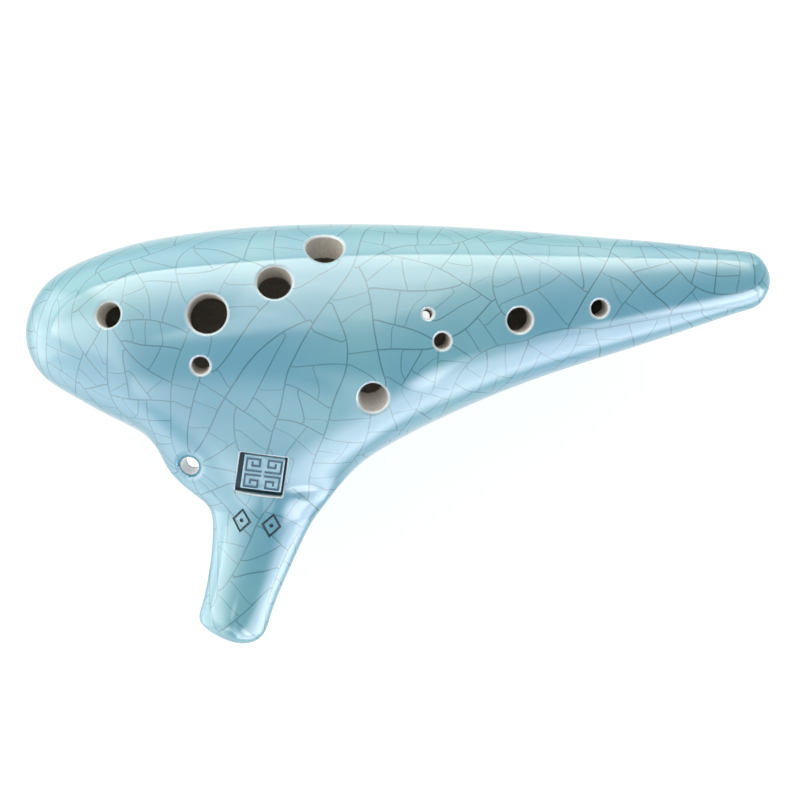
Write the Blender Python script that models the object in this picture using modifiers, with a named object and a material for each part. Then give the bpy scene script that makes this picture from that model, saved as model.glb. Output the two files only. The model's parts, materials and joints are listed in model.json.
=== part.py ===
"""A transverse ceramic ocarina: a hollow vessel of two press-moulded shells, a mouthpiece of
two halves with the windway between them, a blade that splits the air jet, a lanyard lug and
an inlaid seal tile.

+X runs to the tapered tail, +Y away from the mouthpiece and +Z up through the finger holes.
The origin is on the table under the middle of the ocarina. Lengths are written in
millimetres and heights from the mould's parting plane, and PLACE turns them into metres.
"""

from math import radians

import bmesh
import bpy
from mathutils import Matrix, Vector
from mathutils.bvhtree import BVHTree

# ---- Driving dimensions -----------------------------------------------------------------

SEAM_HEIGHT = 23.2  # the parting plane above the table, which flattens the belly
JOINT_GAP = 0.3  # the slip joint left between two pieces
WALL = 5.6
FULLNESS = 0.735  # how square a section's corners are: 0.707 is an ellipse
BEAK_FULLNESS = 0.69

# Sections of the vessel from the round head to the tail, cut from the back edge to the
# front edge: (back x, back y), (front x, front y), rise above the seam, drop below it.
BODY_SECTIONS = [
    ((-84.6, 33.7), (-84.6, 14.6), 9.4, 9.4),
    ((-77.6, 39.4), (-77.6, 9.4), 15.7, 15.7),
    ((-67.0, 43.6), (-67.6, 3.9), 20.8, 20.8),
    ((-54.0, 46.6), (-58.6, -1.3), 23.4, 23.4),
    ((-33.0, 49.0), (-33.0, -3.2), 25.0, 25.0),
    ((-11.5, 49.6), (-4.2, -3.9), 23.8, 23.8),
    ((9.0, 49.2), (11.6, 4.3), 21.6, 21.6),
    ((29.0, 48.0), (30.0, 12.0), 18.6, 18.6),
    ((48.0, 46.5), (48.6, 18.2), 15.2, 15.2),
    ((66.0, 45.0), (66.4, 23.9), 11.5, 11.5),
    ((79.4, 43.5), (80.0, 28.5), 8.0, 8.0),
    ((85.2, 42.0), (85.6, 30.8), 5.8, 5.8),
]
HEAD_POLE = (-88.1, 23.8)
TAIL_POLE = (88.1, 36.4)
BEAK_COLUMNS = (3, 4, 5)  # the body sections whose front opens into the mouthpiece

# Sections of the mouthpiece from the body to its end: (left x, left y), (right x, right y),
# rise, drop.
BEAK_SECTIONS = [
    ((-54.6, -8.0), (-11.8, -10.0), 13.0, 15.0),
    ((-49.3, -13.4), (-16.3, -15.4), 10.7, 13.4),
    ((-45.4, -16.6), (-19.0, -19.0), 9.5, 12.2),
    ((-43.8, -21.0), (-21.5, -23.0), 8.7, 11.1),
    ((-44.4, -30.5), (-25.4, -31.4), 7.6, 9.2),
    ((-46.2, -40.0), (-29.6, -41.4), 6.8, 7.6),
    ((-46.2, -45.1), (-32.2, -47.8), 6.0, 6.4),
]
BEAK_POLE = (-38.6, -49.5)

CHAMBER_COLUMNS = slice(1, 10)  # the body sections that the hollow follows, a wall inside
CHAMBER_HEAD_POLE = (-83.0, 24.0)
CHAMBER_TAIL_POLE = (76.0, 35.6)
CHAMBER_NECK = [((-41.8, -7.5), (-21.2, -9.3), 8.6, 9.6)]
CHAMBER_NECK_POLE = (-32.2, -14.6)

# The windway runs from the end of the beak to the neck, falling towards the underside.
WINDWAY_MOUTH = (-39.3, -48.6, -0.6)
NECK = (-31.9, -17.2, -8.8)
WINDWAY_MOUTH_SIZE = (12.4, 2.4)
WINDWAY_EXIT_SIZE = (11.0, 1.3)
WINDWAY_RUN_OUT = 4  # how far its cutter runs on past the beak's end

VOICING_WIDTH = 11.2
WINDOW_LENGTH = 6.2
BLADE_LENGTH = 8.6
BLADE_EDGE_HEIGHT = -10.4
BLADE_BACK_HEIGHT = -8.6
BLADE_RAMP_HEIGHT = -16.4
VOICING_RUN_IN = 1  # how far the slot starts before the neck
VOICING_TOP = -4.0

# Where each hole opens: x, y, diameter. Its walls are square to the surface, or lean further.
FINGER_HOLES = {
    "left_little": (-66.9, 27.7, 5.9),
    "left_ring": (-43.8, 27.9, 9.2),
    "left_middle": (-28.4, 35.2, 8.0),
    "left_index": (-17.0, 43.6, 8.7),
    "left_small": (-45.4, 15.8, 4.1),
    "right_index": (-5.6, 8.1, 6.7),
    "right_middle": (10.3, 21.5, 3.8),
    "right_small": (6.9, 27.9, 2.3),
    "right_ring": (28.2, 26.4, 5.8),
    "right_little": (46.9, 29.2, 4.0),
}
THUMB_HOLES = {
    "left_thumb": (-24.0, 20.0, 9.8),
    "right_thumb": (7.2, 29.8, 8.8),
}
HOLE_LEANS = {"left_index": radians(14), "right_index": radians(24)}
HOLE_SIDES = 28
HOLE_OUTSIDE = 6
HOLE_INSIDE = 9

LUG_CENTRE = (-50.6, -6.6)
LUG_DIAMETER = 14.0
LUG_HOLE = (-48.6, -6.7)
LUG_HOLE_DIAMETER = 4.6
LUG_HOLE_DRIFT = (0.02, 0.09)  # how far its foot lies along X and Y, as a share of its depth

SEAL_CENTRE = (-31.8, -9.6)
SEAL_TURN = radians(-8)
SEAL_RECESS = (11.2, 10.2)
SEAL_DEPTH = 2.0
SEAL_TILE = (9.5, 8.5)
SEAL_TILE_SHIFT = (0.3, 0.35)  # how far the tile sits to the right and up in its recess
SEAL_TILE_TOP = -0.3
SEAL_TILE_BEVEL = 0.0002  # in metres, as a modifier takes it

SETTLING_ROUNDS = 12
FORM_LEVELS = 2
SMOOTH_ANGLE = radians(35)
FAR = 200  # longer than the ocarina: the reach of a cutter that takes away one side
PLACE = Matrix.Scale(0.001, 4) @ Matrix.Translation((0, 0, SEAM_HEIGHT))


# ---- Scene ------------------------------------------------------------------------------


def clear_scene():
    for thing in list(bpy.data.objects):
        bpy.data.objects.remove(thing, do_unlink=True)


def new_collection(name, hidden=False):
    collection = bpy.data.collections.new(name)
    collection.hide_render = hidden
    bpy.context.scene.collection.children.link(collection)
    return collection


def new_material(name, colour, roughness):
    material = bpy.data.materials.new(name)
    material.use_nodes = True
    shader = material.node_tree.nodes["Principled BSDF"]
    shader.inputs["Base Color"].default_value = (*colour, 1)
    shader.inputs["Roughness"].default_value = roughness
    shader.inputs["Metallic"].default_value = 0
    material.diffuse_color = (*colour, 1)
    return material


def evaluated_mesh(thing):
    graph = bpy.context.evaluated_depsgraph_get()
    graph.update()
    return bpy.data.meshes.new_from_object(thing.evaluated_get(graph))


def new_cutter(name, mesh):
    """A hidden object made of a mesh in millimetres from the seam."""
    mesh.transform(PLACE)
    bmesh.ops.recalc_face_normals(mesh, faces=mesh.faces)
    data = bpy.data.meshes.new(name)
    mesh.to_mesh(data)
    mesh.free()
    thing = bpy.data.objects.new(name, data)
    thing.hide_render = True
    thing.display_type = "WIRE"
    cutters.objects.link(thing)
    return thing


# ---- Smooth forms -----------------------------------------------------------------------


def section_ring(fullness, start, end, rise, drop):
    """Eight points round a section: from start, over the top to end, and back underneath."""
    centre = (Vector(start) + Vector(end)) / 2
    reach = (Vector(start) - Vector(end)) / 2
    ring = []
    for across, up in (
        (1, 0),
        (fullness, fullness),
        (0, 1),
        (-fullness, fullness),
        (-1, 0),
        (-fullness, -fullness),
        (0, -1),
        (fullness, -fullness),
    ):
        flat = centre + reach * across
        ring.append((flat.x, flat.y, up * (rise if up > 0 else drop)))
    return ring


def join_rings(mesh, first, second):
    """Quads between two rings of the same length."""
    for index, point in enumerate(first):
        following = (index + 1) % len(first)
        mesh.faces.new((point, first[following], second[following], second[index]))


def cap_ring(mesh, ring, pole):
    """Closes a ring of eight with four quads round a pole on the seam."""
    centre = mesh.verts.new((*pole, 0))
    for index in range(0, len(ring), 2):
        corners = ring[index], ring[index + 1], ring[(index + 2) % len(ring)]
        mesh.faces.new((centre, *corners))


def vessel_cage(body_sections, beak_sections, head_pole, tail_pole, beak_pole, columns):
    """The closed cage of a body with a beak growing out of its front."""
    mesh = bmesh.new()
    body, beak = (
        [[mesh.verts.new(point) for point in section_ring(fullness, *s)] for s in sections]
        for fullness, sections in ((FULLNESS, body_sections), (BEAK_FULLNESS, beak_sections))
    )
    for ring, following in zip(body, body[1:]):
        join_rings(mesh, ring, following)
    left, middle, right = (body[column] for column in columns)
    root = [left[4], left[3], middle[3], right[3], right[4], right[5], middle[5], left[5]]
    mesh.verts.remove(middle[4])  # the faces that the beak opens go with it
    for ring, following in zip([root, *beak], beak):
        join_rings(mesh, ring, following)
    cap_ring(mesh, body[0], head_pole)
    cap_ring(mesh, body[-1], tail_pole)
    cap_ring(mesh, beak[-1], beak_pole)
    return mesh


def inset(section):
    """The section of the hollow inside a section of the body."""
    start, end, rise, drop = section
    inward = (Vector(end) - Vector(start)).normalized() * WALL
    return Vector(start) + inward, Vector(end) - inward, rise - WALL, drop - WALL


def smooth_form(name, cage):
    """A closed mesh whose smooth surface passes through the cage's own points."""
    form = new_cutter(name, cage)
    smooth = form.modifiers.new("smooth", "SUBSURF")
    smooth.levels = smooth.render_levels = 1
    points = form.data.vertices
    wanted = [point.co.copy() for point in points]
    for _ in range(SETTLING_ROUNDS):
        now = evaluated_mesh(form)
        for point, aim, reached in zip(points, wanted, now.vertices):
            point.co += aim - reached.co
        bpy.data.meshes.remove(now)
    smooth.levels = smooth.render_levels = FORM_LEVELS
    form.data = evaluated_mesh(form)
    form.modifiers.clear()
    return form


def vessel_form():
    cage = vessel_cage(
        BODY_SECTIONS, BEAK_SECTIONS, HEAD_POLE, TAIL_POLE, BEAK_POLE, BEAK_COLUMNS
    )
    return smooth_form("vessel", cage)


def chamber_form():
    cage = vessel_cage(
        [inset(section) for section in BODY_SECTIONS[CHAMBER_COLUMNS]],
        CHAMBER_NECK,
        CHAMBER_HEAD_POLE,
        CHAMBER_TAIL_POLE,
        CHAMBER_NECK_POLE,
        [column - CHAMBER_COLUMNS.start for column in BEAK_COLUMNS],
    )
    return smooth_form("chamber", cage)


# ---- Frames and cutters -----------------------------------------------------------------


def frame_on(x, y, side):
    """A frame on the vessel over x, y, above or below, with Z along the outward normal."""
    start = PLACE @ Vector((x, y, side * FAR))
    place, normal, *_ = skin.ray_cast(start, Vector((0, 0, -side)))
    turn = Vector((0, 0, 1)).rotation_difference(normal).to_matrix().to_4x4()
    return Matrix.Translation(PLACE.inverted() @ place) @ turn


def leaning(frame, angle):
    """The frame turned about its origin so that its Z leans further from the upright."""
    across = Vector((0, 0, 1)).cross(frame.col[2].xyz)
    return frame @ Matrix.Rotation(angle, 4, frame.to_3x3().inverted() @ across)


def frame_along(start, end):
    """A frame at end whose Y runs on from start and whose X is level."""
    along = (Vector(end) - Vector(start)).normalized()
    across = along.cross(Vector((0, 0, 1))).normalized()
    turn = Matrix((across, along, across.cross(along))).transposed().to_4x4()
    return Matrix.Translation(end) @ turn


def block(low, high, frame=Matrix()):
    """A box between two corners, in a frame's own axes."""
    low, high = Vector(low), Vector(high)
    size = Matrix.Diagonal((*(high - low), 1))
    mesh = bmesh.new()
    bmesh.ops.create_cube(mesh, matrix=frame @ Matrix.Translation((low + high) / 2) @ size)
    return mesh


def drill(diameter, frame, outside=FAR, inside=FAR):
    """A cylinder along a frame's Z, from outside above its origin to inside below it."""
    mesh = bmesh.new()
    bmesh.ops.create_cone(
        mesh,
        cap_ends=True,
        segments=HOLE_SIDES,
        radius1=diameter / 2,
        radius2=diameter / 2,
        depth=outside + inside,
        matrix=frame @ Matrix.Translation((0, 0, (outside - inside) / 2)),
    )
    return mesh


def windway_passage():
    """A box along the windway that narrows from the mouth to the exit."""
    length = (Vector(NECK) - Vector(WINDWAY_MOUTH)).length
    near, far = -length - WINDWAY_RUN_OUT, WINDWAY_EXIT_SIZE[1]
    mesh = bmesh.new()
    bmesh.ops.create_cube(mesh, size=1)
    for point in mesh.verts:
        at_mouth = point.co.y < 0
        width, height = WINDWAY_MOUTH_SIZE if at_mouth else WINDWAY_EXIT_SIZE
        point.co = (point.co.x * width, near if at_mouth else far, point.co.z * height)
    mesh.transform(windway_frame)
    return mesh


def blade_prism():
    """A wedge past the window, with a nearly level top and a sloping ramp underneath."""
    start, end = WINDOW_LENGTH, WINDOW_LENGTH + BLADE_LENGTH - JOINT_GAP
    edge, back, ramp = BLADE_EDGE_HEIGHT, BLADE_BACK_HEIGHT, BLADE_RAMP_HEIGHT
    half_width = VOICING_WIDTH / 2 - JOINT_GAP
    mesh = bmesh.new()
    sides = [
        [mesh.verts.new((x, *point)) for point in ((start, edge), (end, back), (end, ramp))]
        for x in (-half_width, half_width)
    ]
    join_rings(mesh, *sides)
    for side in sides:
        mesh.faces.new(side)
    mesh.transform(neck_frame)
    return mesh


def seal_block(size, low, high, centre=(0, 0)):
    middle = Vector((*centre, 0))
    half = Vector((*size, 0)) / 2
    up = Vector((0, 0, 1))
    return block(middle - half + up * low, middle + half + up * high, seal_frame)


def lanyard_frame():
    """A frame in the lug, its Z along a hole that drifts towards the body as it sinks."""
    axis = Vector((-LUG_HOLE_DRIFT[0], -LUG_HOLE_DRIFT[1], 1))
    turn = Vector((0, 0, 1)).rotation_difference(axis).to_matrix().to_4x4()
    return Matrix.Translation((*LUG_HOLE, 0)) @ turn


def make_cutters():
    """Every cutter by name."""
    half = JOINT_GAP / 2
    lug_frame = Matrix.Translation((*LUG_CENTRE, 0))
    reach = Vector((FAR, FAR, FAR))
    shapes = {
        "above_seam": block((-FAR, -FAR, half), reach),
        "below_seam": block((-FAR, -FAR, -SEAM_HEIGHT), (FAR, FAR, -half)),
        "mouthpiece_side": block(-reach, (FAR, -half, FAR), neck_frame),
        "mouthpiece_room": block(-reach, (FAR, half, FAR), neck_frame),
        "above_windway": block((-FAR, -FAR, half), reach, windway_frame),
        "below_windway": block(-reach, (FAR, FAR, -half), windway_frame),
        "windway": windway_passage(),
        "voicing_slot": block(
            (-VOICING_WIDTH / 2, -VOICING_RUN_IN, -FAR),
            (VOICING_WIDTH / 2, WINDOW_LENGTH + BLADE_LENGTH, VOICING_TOP),
            neck_frame,
        ),
        "blade_wedge": blade_prism(),
        "lug_side": drill(LUG_DIAMETER - JOINT_GAP, lug_frame),
        "lug_room": drill(LUG_DIAMETER + JOINT_GAP, lug_frame),
        "lanyard_hole": drill(LUG_HOLE_DIAMETER, lanyard_frame()),
        "seal_recess": seal_block(SEAL_RECESS, -SEAL_DEPTH, FAR),
    }
    for side, holes in ((1, FINGER_HOLES), (-1, THUMB_HOLES)):
        for name, (x, y, diameter) in holes.items():
            frame = leaning(frame_on(x, y, side), HOLE_LEANS.get(name, 0))
            shapes[name] = drill(diameter, frame, HOLE_OUTSIDE, HOLE_INSIDE)
    return {name: new_cutter(name, shape) for name, shape in shapes.items()}


# ---- Nodes ------------------------------------------------------------------------------


def new_node(name, form, material, keep=(), remove=()):
    """A piece of a form: what every cutter in keep holds and none in remove takes."""
    node = bpy.data.objects.new(name, form.data.copy())
    nodes.objects.link(node)
    for operation, chosen in (("INTERSECT", keep), ("DIFFERENCE", remove)):
        for cutter in chosen:
            modifier = node.modifiers.new(cutter, "BOOLEAN")
            modifier.operation = operation
            modifier.solver = "EXACT"
            modifier.object = tools[cutter]
    node.data = evaluated_mesh(node)
    node.modifiers.clear()
    node.data.materials.clear()
    node.data.materials.append(material)
    node.data.shade_smooth()
    node.data.set_sharp_from_angle(angle=SMOOTH_ANGLE)
    return node


def new_seal_tile():
    """A square tile with eased edges, standing on the floor of its recess."""
    mesh = seal_block(SEAL_TILE, JOINT_GAP - SEAL_DEPTH, SEAL_TILE_TOP, SEAL_TILE_SHIFT)
    tile = new_cutter("seal_tile", mesh)
    cutters.objects.unlink(tile)
    nodes.objects.link(tile)
    tile.hide_render = False
    tile.display_type = "TEXTURED"
    tile.data.materials.append(seal_glaze)
    bevel = tile.modifiers.new("eased_edges", "BEVEL")
    bevel.width = SEAL_TILE_BEVEL
    return tile


clear_scene()
nodes = new_collection("ocarina")
cutters = new_collection("cutters", hidden=True)
glaze = new_material("glaze", (0.32, 0.62, 0.68), 0.12)
seal_glaze = new_material("seal_glaze", (0.55, 0.74, 0.84), 0.3)

vessel = vessel_form()
skin = BVHTree.FromPolygons(
    [point.co for point in vessel.data.vertices],
    [face.vertices for face in vessel.data.polygons],
)
neck_frame = frame_along((*WINDWAY_MOUTH[:2], 0), (*NECK[:2], 0))
windway_frame = frame_along(WINDWAY_MOUTH, NECK)
seal_frame = frame_on(*SEAL_CENTRE, 1) @ Matrix.Rotation(SEAL_TURN, 4, "Z")
tools = make_cutters()
tools["chamber"] = chamber_form()

new_node(
    "upper_shell",
    vessel,
    glaze,
    keep=["above_seam"],
    remove=["chamber", "mouthpiece_room", "lug_room", "seal_recess", *FINGER_HOLES],
)
new_node(
    "lower_shell",
    vessel,
    glaze,
    keep=["below_seam"],
    remove=["chamber", "mouthpiece_room", "lug_room", "voicing_slot", *THUMB_HOLES],
)
new_node(
    "mouthpiece_roof",
    vessel,
    glaze,
    keep=["mouthpiece_side", "above_windway"],
    remove=["windway"],
)
new_node(
    "mouthpiece_floor",
    vessel,
    glaze,
    keep=["mouthpiece_side", "below_windway"],
    remove=["windway"],
)
new_node("voicing_blade", vessel, glaze, keep=["blade_wedge"])
new_node(
    "lanyard_lug",
    vessel,
    glaze,
    keep=["lug_side"],
    remove=["mouthpiece_room", "lanyard_hole"],
)
new_seal_tile()
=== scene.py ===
"""Looks of the ocarina: fine glazed pieces that stand for the plain CAD solids, the crackle in
their glaze, the stamped tile and marks, and the studio around them.

The forms of the vessel and of its hollow repeat the design's sections. Those are written in
millimetres from the parting plane, and PLACE puts them into the model's frame, in metres.
"""

import json
import random
from math import cos, pi, radians, sin, sqrt

import bmesh
import bpy
import numpy as np
from mathutils import Matrix, Quaternion, Vector
from mathutils.bvhtree import BVHTree
from mathutils.kdtree import KDTree

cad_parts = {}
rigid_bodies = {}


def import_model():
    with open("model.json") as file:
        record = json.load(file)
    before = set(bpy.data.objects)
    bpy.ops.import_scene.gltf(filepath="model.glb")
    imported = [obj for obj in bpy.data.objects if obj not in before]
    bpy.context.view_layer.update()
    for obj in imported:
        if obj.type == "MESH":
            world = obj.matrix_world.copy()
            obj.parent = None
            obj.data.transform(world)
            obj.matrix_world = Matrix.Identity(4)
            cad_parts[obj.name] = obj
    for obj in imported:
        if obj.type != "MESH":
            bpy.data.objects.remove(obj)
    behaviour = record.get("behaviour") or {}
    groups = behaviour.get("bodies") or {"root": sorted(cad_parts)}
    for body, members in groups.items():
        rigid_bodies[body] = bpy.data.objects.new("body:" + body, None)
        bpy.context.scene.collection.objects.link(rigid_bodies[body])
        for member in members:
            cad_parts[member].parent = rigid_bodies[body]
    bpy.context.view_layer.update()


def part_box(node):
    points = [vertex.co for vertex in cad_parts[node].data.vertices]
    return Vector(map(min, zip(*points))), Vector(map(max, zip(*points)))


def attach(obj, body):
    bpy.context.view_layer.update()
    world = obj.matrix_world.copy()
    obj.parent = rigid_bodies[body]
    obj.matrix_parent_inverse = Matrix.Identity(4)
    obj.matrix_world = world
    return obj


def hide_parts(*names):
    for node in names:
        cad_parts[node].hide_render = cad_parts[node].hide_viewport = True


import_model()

# ---- Dimensions that the design sets, in millimetres from the parting plane ------------------

MM = 0.001
SEAM = (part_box("lower_shell")[1].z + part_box("upper_shell")[0].z) / 2
PLACE = Matrix.Translation((0, 0, SEAM)) @ Matrix.Scale(MM, 4)
FAR = 200

WALL = 5.6
FULLNESS = 0.735
BEAK_FULLNESS = 0.69
BODY_SECTIONS = [
    ((-84.6, 33.7), (-84.6, 14.6), 9.4, 9.4),
    ((-77.6, 39.4), (-77.6, 9.4), 15.7, 15.7),
    ((-67.0, 43.6), (-67.6, 3.9), 20.8, 20.8),
    ((-54.0, 46.6), (-58.6, -1.3), 23.4, 23.4),
    ((-33.0, 49.0), (-33.0, -3.2), 25.0, 25.0),
    ((-11.5, 49.6), (-4.2, -3.9), 23.8, 23.8),
    ((9.0, 49.2), (11.6, 4.3), 21.6, 21.6),
    ((29.0, 48.0), (30.0, 12.0), 18.6, 18.6),
    ((48.0, 46.5), (48.6, 18.2), 15.2, 15.2),
    ((66.0, 45.0), (66.4, 23.9), 11.5, 11.5),
    ((79.4, 43.5), (80.0, 28.5), 8.0, 8.0),
    ((85.2, 42.0), (85.6, 30.8), 5.8, 5.8),
]
HEAD_POLE = (-88.1, 23.8)
TAIL_POLE = (88.1, 36.4)
BEAK_COLUMNS = (3, 4, 5)
BEAK_SECTIONS = [
    ((-54.6, -8.0), (-11.8, -10.0), 13.0, 15.0),
    ((-49.3, -13.4), (-16.3, -15.4), 10.7, 13.4),
    ((-45.4, -16.6), (-19.0, -19.0), 9.5, 12.2),
    ((-43.8, -21.0), (-21.5, -23.0), 8.7, 11.1),
    ((-44.4, -30.5), (-25.4, -31.4), 7.6, 9.2),
    ((-46.2, -40.0), (-29.6, -41.4), 6.8, 7.6),
    ((-46.2, -45.1), (-32.2, -47.8), 6.0, 6.4),
]
BEAK_POLE = (-38.6, -49.5)

CHAMBER_COLUMNS = slice(1, 10)
CHAMBER_HEAD_POLE = (-83.0, 24.0)
CHAMBER_TAIL_POLE = (76.0, 35.6)
CHAMBER_NECK = [((-41.8, -7.5), (-21.2, -9.3), 8.6, 9.6)]
CHAMBER_NECK_POLE = (-32.2, -14.6)

WINDWAY_MOUTH = (-39.3, -48.6, -0.6)
NECK = (-31.9, -17.2, -8.8)
WINDWAY_MOUTH_SIZE = (12.4, 2.4)
WINDWAY_EXIT_SIZE = (11.0, 1.3)
WINDWAY_RUN_OUT = 4

VOICING_WIDTH = 11.2
WINDOW_LENGTH = 6.2
BLADE_LENGTH = 8.6
VOICING_TOP = -4.0

FINGER_HOLES = {
    "left_little": (-66.9, 27.7, 5.9),
    "left_ring": (-43.8, 27.9, 9.2),
    "left_middle": (-28.4, 35.2, 8.0),
    "left_index": (-17.0, 43.6, 8.7),
    "left_small": (-45.4, 15.8, 4.1),
    "right_index": (-5.6, 8.1, 6.7),
    "right_middle": (10.3, 21.5, 3.8),
    "right_small": (6.9, 27.9, 2.3),
    "right_ring": (28.2, 26.4, 5.8),
    "right_little": (46.9, 29.2, 4.0),
}
THUMB_HOLES = {
    "left_thumb": (-24.0, 20.0, 9.8),
    "right_thumb": (7.2, 29.8, 8.8),
}
HOLE_LEANS = {"left_index": radians(14), "right_index": radians(24)}

LUG_CENTRE = (-50.6, -6.6)
LUG_DIAMETER = 14.0
LUG_HOLE = (-48.6, -6.7)
LUG_HOLE_DIAMETER = 4.6
LUG_HOLE_DRIFT = (0.02, 0.09)

SEAL_CENTRE = (-31.8, -9.6)
SEAL_TURN = radians(-8)
SEAL_RECESS = (11.2, 10.2)
SEAL_DEPTH = 2.0
SEAL_TILE = (9.5, 8.5)
SEAL_TILE_SHIFT = (0.3, 0.35)
SEAL_TILE_TOP = -0.3
SEAL_TILE_FOOT = 0.3 - SEAL_DEPTH

# ---- Details of the fine pieces, in millimetres ----------------------------------------------

SETTLING_ROUNDS = 12
SKIN_LEVELS = 4
HOLLOW_LEVELS = 3
FOOT_EASE = 0.25 * MM  # how softly the flat of the belly meets the round, in metres
SHARP = radians(35)

ROUND_SIDES = 96
STRAIGHT_STEP = 0.5
LIP_STEPS = 9
LIP_START = 0.012  # how far under the skin a lip's cutter begins
LIP_FALL = 0.7  # a lip's depth as a share of its width
HOLE_LIP = 0.85
LUG_LIP = 2.0
SEAL_LIP = 0.5
SEAL_CORNER = 0.4
MOUTH_LIP = 0.8
OUTSIDE = 6
INSIDE = 9

MARK_CENTRES = ((-36.6, -20.2), (-29.6, -21.4))
MARK_SIZE = (2.5, 3.0)  # half the lozenge's width and height
MARK_STROKE = 0.55
MARK_DOT = 0.5
MARK_DEPTH = 0.35
MARK_TURN = radians(-10)

FRET_STROKE = 0.46
FRET_RISE = 0.22
FRET_PATH = ((0, 0), (1, 0), (1, 1), (0.12, 1), (0.12, 0.42), (0.62, 0.42), (0.62, 0.68))
FRET_CELL = (3.5, 3.0)
FRET_MARGIN = 0.55
SEAL_EASE = 0.25 * MM
BLADE_EASE = 0.08 * MM

# ---- Crackle ---------------------------------------------------------------------------------

CRACK_SEED = 12
CRACK_STEP = 1.0 * MM
FIRST_CRACKS = 36
FIRST_STEPS = 170
LATER_STEPS = 60
CELL_REACH = 2.45 * MM  # a crack starts where no other is nearer than this
CELL_SPREAD = 0.12
BEAK_CELLS = 1.25  # how much wider the cells are on the mouthpiece
CATCH = 2.6 * MM  # within this a crack turns towards another to meet it squarely
RIM_CLEARANCE = 0.2
RIM_STEP = 0.7
CRACK_SLOTS = 6  # how many stretches of crack one face can show

# ---- How the fine pieces are dressed ---------------------------------------------------------

SHARES = ("thin", "bare", "pooling_and_painted_shade")
SKIN_NEAR = 0.015 * MM
LIP_DEEPEST = 1.0 * MM
MARK_DEEPEST = 1.2 * MM
BARE_FROM = 0.97
SLIVER = 0.02 * MM**2

# ---- Colours ---------------------------------------------------------------------------------

SEAL_PALE = (0.47, 0.73, 0.80, 1)
SEAL_SHADE = (0.34, 0.58, 0.68, 1)
SEAL_BLUE = (0.015, 0.065, 0.120, 1)
SEAL_WORN = (0.030, 0.110, 0.185, 1)
DEEP_GLAZE = (0.185, 0.455, 0.580, 1)
GREEN_GLAZE = (0.215, 0.510, 0.575, 1)
PALE_GLAZE = (0.330, 0.600, 0.660, 1)
THIN_GLAZE = (0.860, 0.900, 0.900, 1)
# near-black for grooves: glaze pooled in them, darkened further as painted shade
POOLED_GLAZE_AND_SHADE = (0.015, 0.040, 0.052, 1)
CRACK_INK = (0.050, 0.165, 0.205, 1)
LIGHT_CLAY = (0.69, 0.65, 0.59, 1)
DARK_CLAY = (0.57, 0.53, 0.47, 1)

# ---- The studio, in metres -------------------------------------------------------------------

CAMERA_PLACE = (0.0005, 0.0080)
CAMERA_RISE = 0.8  # above the parting plane
FIELD_WIDTH = 0.1893  # how much the picture takes in at the parting plane
FLOOR_SIZE = 8
FLOOR_GLOW = 0.80
FLOOR_COLOUR = (0.35, 0.35, 0.35, 1)

# Each soft box: the compass angle that it stands at, the angles above the horizon between
# which it shines, with how softly it starts and ends, half its spread to the sides, how
# softly those end, its strength and its colour. Angles are in degrees, with +X at 0.
SOFT_BOXES = (
    (97, (14, 16.5), (22, 66), 32, 12, 5.4, (1.06, 0.98, 0.90)),
    (120, (14, 16.5), (25, 118), 56, 12, 4.8, (1.04, 0.99, 0.92)),
    (110, (-45, 5), (8, 22), 54, 14, 3.8, (0.98, 1.00, 0.96)),
    (84, (34, 50), (70, 82), 8, 5, 2.8, (1.04, 0.98, 0.92)),
    (135, (72, 80), (86, 95), 8, 8, 3.2, (1.02, 1.00, 0.94)),
    (-57, (-38, -8), (16, 46), 36, 5, 7.2, (0.97, 0.94, 1.03)),
    (-46, (0, 12), (28, 44), 6, 4, 6.4, (1.00, 0.96, 1.00)),
    (-25, (-45, -25), (4, 14), 9, 4, 3.0, (0.97, 0.96, 1.03)),
    (-78, (24, 40), (50, 66), 5, 5, 2.6, (1.00, 1.00, 1.00)),
    (-108, (14, 30), (38, 54), 12, 6, 2.4, (1.00, 1.00, 1.00)),
    (-150, (-60, 0), (30, 74), 30, 14, 3.6, (1.00, 1.00, 1.00)),
    (175, (-50, -15), (8, 26), 26, 8, 2.2, (1.00, 1.00, 1.00)),
)
BOX_FILL = 0.12  # how strongly the boxes light matt surfaces, beside what the glaze mirrors
WARM_LIGHT = (0.74, 0.82, 0.74)
COOL_LIGHT = (0.62, 0.66, 0.80)
ZENITH_LIGHT = (0.26, 0.28, 0.30)


# ---- Meshes and objects ----------------------------------------------------------------------


def new_object(name, data):
    thing = bpy.data.objects.new(name, data)
    bpy.context.scene.collection.objects.link(thing)
    return thing


def evaluated_mesh(thing):
    graph = bpy.context.evaluated_depsgraph_get()
    graph.update()
    return bpy.data.meshes.new_from_object(thing.evaluated_get(graph))


def object_from(name, mesh):
    """An object made of a bmesh that is already in place."""
    bmesh.ops.recalc_face_normals(mesh, faces=mesh.faces)
    data = bpy.data.meshes.new(name)
    mesh.to_mesh(data)
    mesh.free()
    return new_object(name, data)


def cut(thing, tools, operation="DIFFERENCE"):
    """Cuts an object with closed meshes, all at once, and keeps the result as its mesh."""
    chosen = bpy.data.collections.new("tools")
    for number, tool in enumerate(tools):
        chosen.objects.link(object_from(f"tool_{number}", tool))
    modifier = thing.modifiers.new("cut", "BOOLEAN")
    modifier.operation = operation
    modifier.solver = "EXACT"
    modifier.operand_type = "COLLECTION"
    modifier.collection = chosen
    thing.data = evaluated_mesh(thing)
    thing.modifiers.clear()
    for tool in list(chosen.objects):
        bpy.data.objects.remove(tool)
    bpy.data.collections.remove(chosen)


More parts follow.
